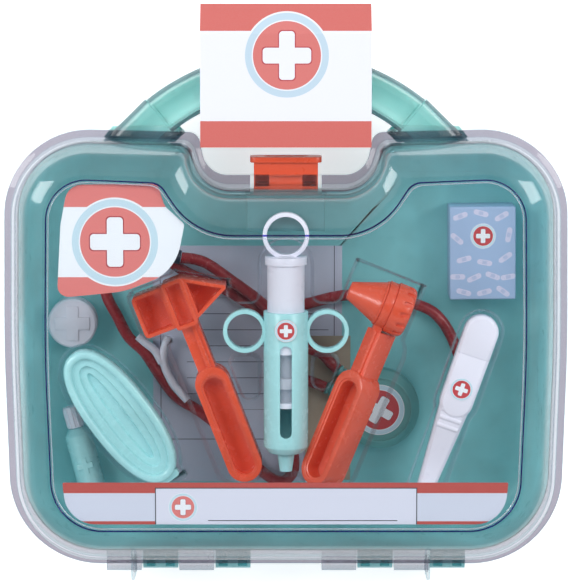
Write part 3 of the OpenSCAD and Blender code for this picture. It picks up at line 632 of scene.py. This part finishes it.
# Tray
# Section of a pocket's edge, from the sheet down to the floor: outset and height in mm
POCKET_LIP = [(0.9, 36.6), (0.5, 36.52), (0.15, 36.3), (-0.1, 35.9), (-0.3, 35.3), (-1.3, 30.6), (-1.55, 29.8),
              (-1.9, 29.2), (-2.3, 29)]
SHEET_Z = 36.6


def rims_of(faces):
    """Closed chains of points round a set of faces, with the faces on the left."""
    ahead = {}
    for f in faces:
        for corner in f.loops:
            if sum(g in faces for g in corner.edge.link_faces) == 1:
                ahead[corner.vert] = corner.link_loop_next.vert
    out = []
    while ahead:
        at, chain = next(iter(ahead)), []
        while at in ahead:
            chain.append(at.co.copy())
            at = ahead.pop(at)
        out.append(chain)
    return out


def area_of(loop):
    """The area inside a loop; it's negative if the loop runs clockwise."""
    return sum(a.x * b.y - b.x * a.y for a, b in zip(loop, loop[1:] + loop[:1])) / 2


def drawn_out(loop, d):
    """The loop moved by d mm to its right: outwards if it runs anticlockwise."""
    out = []
    for i, q in enumerate(loop):
        u = (q - loop[i - 1]).to_2d().normalized()
        v = (loop[(i + 1) % len(loop)] - q).to_2d().normalized()
        n = Vector((u.y + v.y, -u.x - v.x))
        n /= max(n.length_squared / 2, 0.5)
        out.append((q.x + n.x * d * MM, q.y + n.y * d * MM))
    return out


def tray():
    """The blister tray as thin film: a flat sheet whose pockets have rounded lips and feet."""
    cad = bmesh.new()
    cad.from_mesh(nodes["blister_tray"].data)
    bmesh.ops.remove_doubles(cad, verts=cad.verts, dist=2e-6)
    just_under = (SHEET_Z - 0.2) * MM
    top = {f for f in cad.faces if f.normal.z > 0.99 and f.calc_center_median().z > just_under}
    loops = sorted(rims_of(top), key=lambda c: -abs(area_of(c)))
    cad.free()
    bm = bmesh.new()

    def ring(points, z):
        vs = [bm.verts.new((x, y, z * MM)) for x, y in points]
        return vs, [bm.edges.new((a, b)) for a, b in zip(vs, vs[1:] + vs[:1])]

    sheet_edges = ring([(q.x, q.y) for q in loops[0]], SHEET_Z)[1]
    floor_edges = []
    for loop in loops[1:]:
        rows = [ring(drawn_out(loop, -d), z) for d, z in POCKET_LIP]
        sheet_edges += rows[0][1]
        floor_edges += rows[-1][1]
        for (a, _), (b, _) in zip(rows, rows[1:]):
            skin_between(bm, a, b)
    for edges in (floor_edges, sheet_edges):
        bmesh.ops.triangle_fill(bm, use_beauty=True, edges=edges)
    bmesh.ops.recalc_face_normals(bm, faces=bm.faces)
    if sum(f.normal.z * f.calc_area() for f in bm.faces) < 0:
        bmesh.ops.reverse_faces(bm, faces=bm.faces)
    ob = mesh_object("blister_tray_form", bm)
    m = ob.modifiers.new("film", "SOLIDIFY")
    m.thickness = FILM_T * MM
    m.offset = -1
    apply_modifiers(ob)
    finish_mesh(ob, 50)
    return stand_for(ob, "blister_tray")


# Case
# The lid's section, as insets and heights in mm: its wall from the flange up to the panel's border, outer side,
# its foot from the wall's inner side to that wall, and the step from the border down to the panel
LID_WALL = [(3.4, 40.5), (4, 46), (5.2, 52.5), (7.2, 56.9), (10.2, 60.3), (14.2, 62.8), (18.6, 64.2), (21.2, 64.5)]
LID_FOOT = [(5.2, 39), (6.7, 37.6), (6.7, 36.02), (0.6, 36.02), (0.15, 36.15), (0, 36.6), (0, 38.2), (0.25, 39),
            (1, 39.4), (2.6, 39.6), (3.1, 39.9)]
LID_STEP = [(21.5, 64.4), (21.8, 63.9), (22.2, 63.65), (23.2, 63.6), (24.6, 63.6)]
PANEL_BACK = [(24.6, 62), (23, 62)]


def outline(d):
    """The case's outline, drawn in by d mm, finer than the CAD's: big corners and the handle's notch."""
    w, y0, y1 = CASE_W / 2 - d, MID - CASE_H / 2, MID + CASE_H / 2
    notch = y1 - NOTCH_D
    # Each corner with its rounding and its number of steps, from the middle of the hinge's side to the notch's
    corners = [
        ((0, y0 + d), 0, 0), ((w - 2.8, y0 + d), 44 - 0.9 * d, 27), ((w, MID), 900, 12),
        ((w - 1.4, y1 - d), 41 - d, 27), ((41.8 + 0.8 * d, y1 - 2.2 - d), 6 + 0.1 * d, 12),
        ((37.5 + 0.24 * d, notch - 1.2 * d), 12 + d, 21), ((0, notch - 1.2 * d), 0, 0)]
    half = [Vector(corners[0][0])]
    for before, (at, r, n), after in zip(corners, corners[1:], corners[2:]):
        half += fillet(before[0], at, after[0], r, n)
    half.append(Vector(corners[-1][0]))
    return half + [Vector((-q.x, q.y)) for q in half[-2:0:-1]]


def outline_ring(d, z):
    return [Vector((q.x, q.y, z)) for q in outline(d)]


def lid_section():
    """The lid's section as a run of insets and heights, from the panel's back round the foot to its front."""
    p = [Vector(q) for q in LID_WALL]
    per_leg = 4
    wall = [spline(p, i / per_leg) for i in range((len(p) - 1) * per_leg + 1)]
    inner = []
    for a, at, b in zip(wall, wall[1:], wall[2:]):
        way = (b - a).normalized()
        inner.append(at + LID_T * Vector((way.y, -way.x)))
    back = [q for q in inner if q.x < 22.5][::-1]
    return PANEL_BACK + [tuple(q) for q in back] + LID_FOOT + [tuple(q) for q in wall] + LID_STEP


def half_round(w, h, r, n=8):
    """A D-shaped section from its left foot over the top to its right foot."""
    arc = [math.pi / 2 * i / n for i in range(n + 1)]
    right = [(w / 2 - r + r * math.cos(a), h - r + r * math.sin(a)) for a in arc]
    right = [(w / 2, 0), (w / 2, (h - r) / 2)] + right
    return [(-u, v) for u, v in right] + right[::-1]


def channel(w, h, r, t):
    """A D-shaped section that is hollow, with a wall of t."""
    return half_round(w, h, r) + half_round(w - 2 * t, h - t, r - t)[::-1]


def add_handle(bm, up, t, foot):
    """One half of the handle: a channel on its arch, with wider straight roots that end in the case's wall.

    up is 1 for the lid's half and -1 for the base's; foot is the local Y where the roots end.
    """
    def put(x, y, v):
        return at_local(x, y, PARTING + up * (v + HAIR))
    rings = []
    for i in range(ARCH_STEPS + 1):
        a = math.radians(ARCH_HALF * (2 * i / ARCH_STEPS - 1))
        around = [(ARCH_R + u, v) for u, v in channel(*GRIP, t)]
        rings.append([put(r * math.sin(a), ARCH_Y + r * math.cos(a), v) for r, v in around])
    add_loft(bm, rings)
    steps = 8
    for side in (-1, 1):
        rings = []
        for i in range(steps + 1):
            ring = []
            for u, v in channel(*ROOT, t):
                first = COLLAR_SLANT * u
                last = (ROOT_AT[1] - foot + ROOT_COS * u) / ROOT_SIN
                along = first + (last - first) * i / steps
                x = ROOT_AT[0] + ROOT_SIN * u + ROOT_COS * along
                y = ROOT_AT[1] + ROOT_COS * u - ROOT_SIN * along
                ring.append(put(side * x, y, v))
            rings.append(ring)
        add_loft(bm, rings)


def add_prism(bm, points, x0, x1):
    """A polygon of local Y and Z, drawn out along X."""
    add_loft(bm, [[at_local(x, y, z) for y, z in points] for x in (x0, x1)])


def arc_points(r, start, end, n):
    """Local Y and Z of an arc about the hinge's axis, between two angles in degrees."""
    turns = [math.radians(start + (end - start) * i / n) for i in range(n + 1)]
    return [(HINGE_Y + r * math.cos(t), HINGE_Z + r * math.sin(t)) for t in turns]


def lid_trim():
    """The hinge's lugs, pins and fins, and the latch's hooks."""
    bm = bmesh.new()
    lug_top = PARTING + 0.4
    lug = [(0, lug_top)] + arc_points(LUG_R, 180, 360, 24) + [(2 * LUG_R, lug_top)]
    for side in (-1, 1):
        lug_x = [side * SET_X + SET_START + i * LUG_STEP for i in range(4)]
        for i in (0, 2):
            add_prism(bm, lug, lug_x[i], lug_x[i] + LUG_W)
        add_prism(bm, arc_points(PIN_R, 0, 345, 23), lug_x[0] + 1, lug_x[3] + 16.5)
        x = lug_x[0] + 14 if side < 0 else lug_x[2] + 15.6
        add_prism(bm, FIN, x - FIN_T / 2, x + FIN_T / 2)
        x0, x1 = sorted(side * x for x in HOOK_X)
        for y0, y1, top in HOOK:
            add_prism(bm, [(y0, HOOK_Z), (y1, HOOK_Z), (y1, top), (y0, top)], x0, x1)
    ob = from_bmesh("lid_trim", bm)
    round_edges(ob, 40)
    return ob


def lid():
    """The clear lid: a fine loft of its wall, its half of the handle, and the hinge's and the latch's small forms."""
    bm = bmesh.new()
    add_loft(bm, [outline_ring(d, z) for d, z in lid_section()])
    add_handle(bm, 1, LID_T, LID_FOOT_Y)
    add_object(bm, lid_trim())
    return stand_for(from_bmesh("lid_shell_form", bm, 34), "lid_shell")


def base():
    """The base's own form, with straight roots like the lid's in place of its half of the handle."""
    ob = skin("base_shell")
    bm = bmesh.new()
    bm.from_mesh(ob.data)
    cut = bmesh.ops.bisect_plane(
        bm, geom=bm.verts[:] + bm.edges[:] + bm.faces[:], plane_co=at_local(0, CASE_TOP + 0.1, 0) * MM,
        plane_no=(0, 1, 0), clear_outer=True)
    open_edges = [e for e in cut["geom_cut"] if isinstance(e, bmesh.types.BMEdge)]
    bmesh.ops.holes_fill(bm, edges=open_edges, sides=0)
    half = bmesh.new()
    add_handle(half, -1, BASE_T, BASE_FOOT_Y)
    add_object(bm, from_bmesh("base_handle", half, 34))
    bm.to_mesh(ob.data)
    bm.free()
    finish_mesh(ob, 34)
    return ob


def bead(name, d0, d1):
    """A fine bead that runs round the lid's panel, inside its step, between two insets in mm."""
    foot, shoulder, near_top, top = 63.4, 64.1, 64.38, 64.45
    w = d1 - d0
    section = [
        (d0, foot), (d0, shoulder), (d0 + 0.2 * w, near_top), (d0 + 0.4 * w, top), (d1 - 0.4 * w, top),
        (d1 - 0.2 * w, near_top), (d1, shoulder), (d1, foot)]
    bm = bmesh.new()
    rows = add_rings(bm, [outline_ring(d, z) for d, z in section])
    skin_between(bm, rows[-1], rows[0])
    ob = from_bmesh(name, bm, 60)
    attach(ob, body_of["lid_shell"])
    return ob


def paint(ob, mat):
    ob.data.materials.clear()
    ob.data.materials.append(mat)


# The set
def grid_card(name, size, at, p, shader):
    me = bpy.data.meshes.new(name)
    bm = bmesh.new()
    bmesh.ops.create_grid(bm, x_segments=4, y_segments=4, size=size)
    bm.to_mesh(me)
    bm.free()
    ob = new_object(name, me)
    ob.location = at
    me.materials.append(p.surface(shader))
    return ob


def ceiling():
    """A dark card over the set, so that the lid's flat panel doesn't mirror the white background."""
    p = Paint("dark_card")
    grain = p.mix(p.range(p.noise(60), 0, 1), linear((38, 40, 44)), linear((34, 36, 40)))
    dull = p.add("BsdfDiffuse", {"Color": grain}).outputs[0]
    grid_card("ceiling_card", 0.55, (0, -0.1, 1.75), p, dull).visible_camera = False


def floor():
    """A pale floor that keeps its shadows and is white to the camera, in mirrors and through clear plastic."""
    p = Paint("floor_white")
    path = p.add("LightPath").outputs
    seen = p.either(path["Is Camera Ray"], path["Is Glossy Ray"], path["Is Transmission Ray"])
    grain = p.mix(p.range(p.noise(60), 0, 1), linear((238, 238, 240)), linear((234, 234, 237)))
    dull = p.add("BsdfDiffuse", {"Color": grain}).outputs[0]
    glow = p.add("Emission", {"Color": (1, 1, 1, 1), "Strength": p.math("MULTIPLY", seen, 0.58)}).outputs[0]
    grid_card("floor", 4, (0, 0, -0.0003), p, p.add("AddShader", {0: dull, 1: glow}).outputs[0])


camera()
world()
area_lamp("soft_left", (-0.82, 0.34, 0.78), 0.34, 6, 0.6)
area_lamp("soft_right", (0.82, 0.34, 0.78), 0.34, 5.6, 0.6)
area_lamp("top", (-0.1, 0.8, 1.0), 0.6, 4, mirrored=False)
area_lamp("front", (0.1, -0.9, 0.7), 0.8, 2.2, 0.3, mirrored=False)

# The object, piece by piece: each node with its material and the name of its slot
ORANGE = (plastic("orange_plastic", (234, 90, 62), 0.25, 0.92), "orange_plastic")
PALE = (plastic("pale_teal_plastic", (176, 232, 236), 0.25, 0.94), "pale_teal_plastic")
WHITE = (plastic("white_plastic", (242, 240, 254), 0.3, 0.96), "white_plastic")
HOSE = (plastic("red_hose", (170, 48, 55), 0.26, 0.85), "red_tube")
looks = {
    # The case's teal, with a lighter teal as painted light on the handle and a darker one as painted shade on the
    # latch's housing
    "base_shell": (
        case_plastic("teal_plastic", (166, 224, 228), (206, 250, 246), (112, 170, 176)), "teal_case_plastic"),
    "lid_shell": (
        clear("clear_lid", (254, 255, 255), (182, 210, 216), (214, 226, 236), fog=0.1, ior=1.33, cap=0.22,
              rim=((206, 202, 209), 38.5)), "clear_lid_plastic"),
    "latch_button": (plastic("latch_orange", (228, 88, 58), 0.3, 0.92), "orange_plastic"),
    "latch_spring": (plastic("spring_wire", (176, 178, 184), 0.3), "spring_steel"),
    "blister_tray": (
        clear("clear_film", (255, 255, 255), (236, 240, 250), (236, 240, 250), fog=0.75, ior=1.15, cap=0.2,
              rough=0.05, wave=0.1), "clear_film"),
    "corner_sticker": (paper("corner_sticker_print", sticker_print, coat=0.3), "printed_paper_red"),
    "name_banner": (paper("name_banner_print", banner_print, coat=0.3), "printed_paper_red"),
    "header_card_front": (paper("header_print", header_print, coat=0.2), "printed_card"),
    "header_card_back": (paper("header_back_print", header_print, coat=0.2), "printed_card"),
    "reflex_hammer": ORANGE,
    "syringe_barrel": PALE,
    "syringe_plunger": WHITE,
    "syringe_label": (
        paper("syringe_disc_print", disc_print("syringe_label", 0.25, (226, 90, 70))), "printed_paper_red"),
    "otoscope_body": ORANGE,
    "otoscope_cap": ORANGE,
    "otoscope_speculum": ORANGE,
    "thermometer_body": WHITE,
    "thermometer_cap": WHITE,
    "thermometer_label": (
        paper("thermometer_disc_print", disc_print("thermometer_label", 0.265, (236, 238, 250), -19)),
        "printed_paper_red"),
    "oval_dish": PALE,
    "pill_box_base": WHITE,
    "pill_box_lid": WHITE,
    "bottle_body": PALE,
    "bottle_cap": WHITE,
    "plaster_box": (paper("pack_print", pack_print, coat=0.4), "printed_pack_blue"),
    "prescription_sheet": (paper("sheet_print", sheet_print), "white_paper"),
    "patient_card": (paper("brown_card_stock", lambda p: linear((176, 160, 142))), "brown_card"),
    "stethoscope_chest_piece": (plastic("chest_piece_teal", (110, 172, 172), 0.32, 0.92), "teal_case_plastic"),
    "stethoscope_diaphragm": WHITE,
    "stethoscope_label": (
        paper("chest_disc_print", disc_print("stethoscope_label", 0.6, (150, 176, 182), -29.5)),
        "printed_paper_red"),
    "stethoscope_long_tube": HOSE,
    "stethoscope_short_tube": HOSE,
    "stethoscope_headset": WHITE,
    "stethoscope_ear_tips": (plastic("navy_plastic", (36, 42, 62), 0.45), "navy_plastic"),
}
unrounded = {
    "corner_sticker", "name_banner", "header_card_front", "header_card_back", "prescription_sheet",
    "patient_card", "latch_spring", "syringe_label", "thermometer_label", "stethoscope_label"}
made = {
    "base_shell": base, "lid_shell": lid, "plaster_box": pack, "blister_tray": tray, "oval_dish": dish,
    "stethoscope_long_tube": lambda: hose("stethoscope_long_tube", [LONG_ROUTE], TUBE_R),
    "stethoscope_short_tube": lambda: hose("stethoscope_short_tube", [SHORT_ROUTE], TUBE_R),
    "stethoscope_headset": lambda: hose("stethoscope_headset", BOWS, BOW_R),
}
for node, (mat, slot_name) in looks.items():
    form = made[node]() if node in made else skin(node, node not in unrounded)
    paint(form, mat)

# Painted refraction and painted highlight round the lid's panel: a dark violet bead where the clear plastic bends the
# light at the border's sharp corner, and a milky white bead beside it
painted_refraction_line = clear("clear_painted_refraction_line", (150, 142, 226), (150, 150, 215), (120, 112, 205), fog=0.4, ior=1.3, cap=0.3)
painted_highlight_line = clear("clear_painted_highlight_line", (252, 253, 255), (225, 232, 240), (225, 236, 244), fog=0.5, ior=1.5,
                    cap=0.5, milk=0.3)
paint(bead("lid_painted_refraction_line", 21.45, 22.1), painted_refraction_line)
paint(bead("lid_painted_highlight_line", 22.65, 23.2), painted_highlight_line)

ceiling()
floor()
bpy.context.scene.view_settings.view_transform = "Standard"
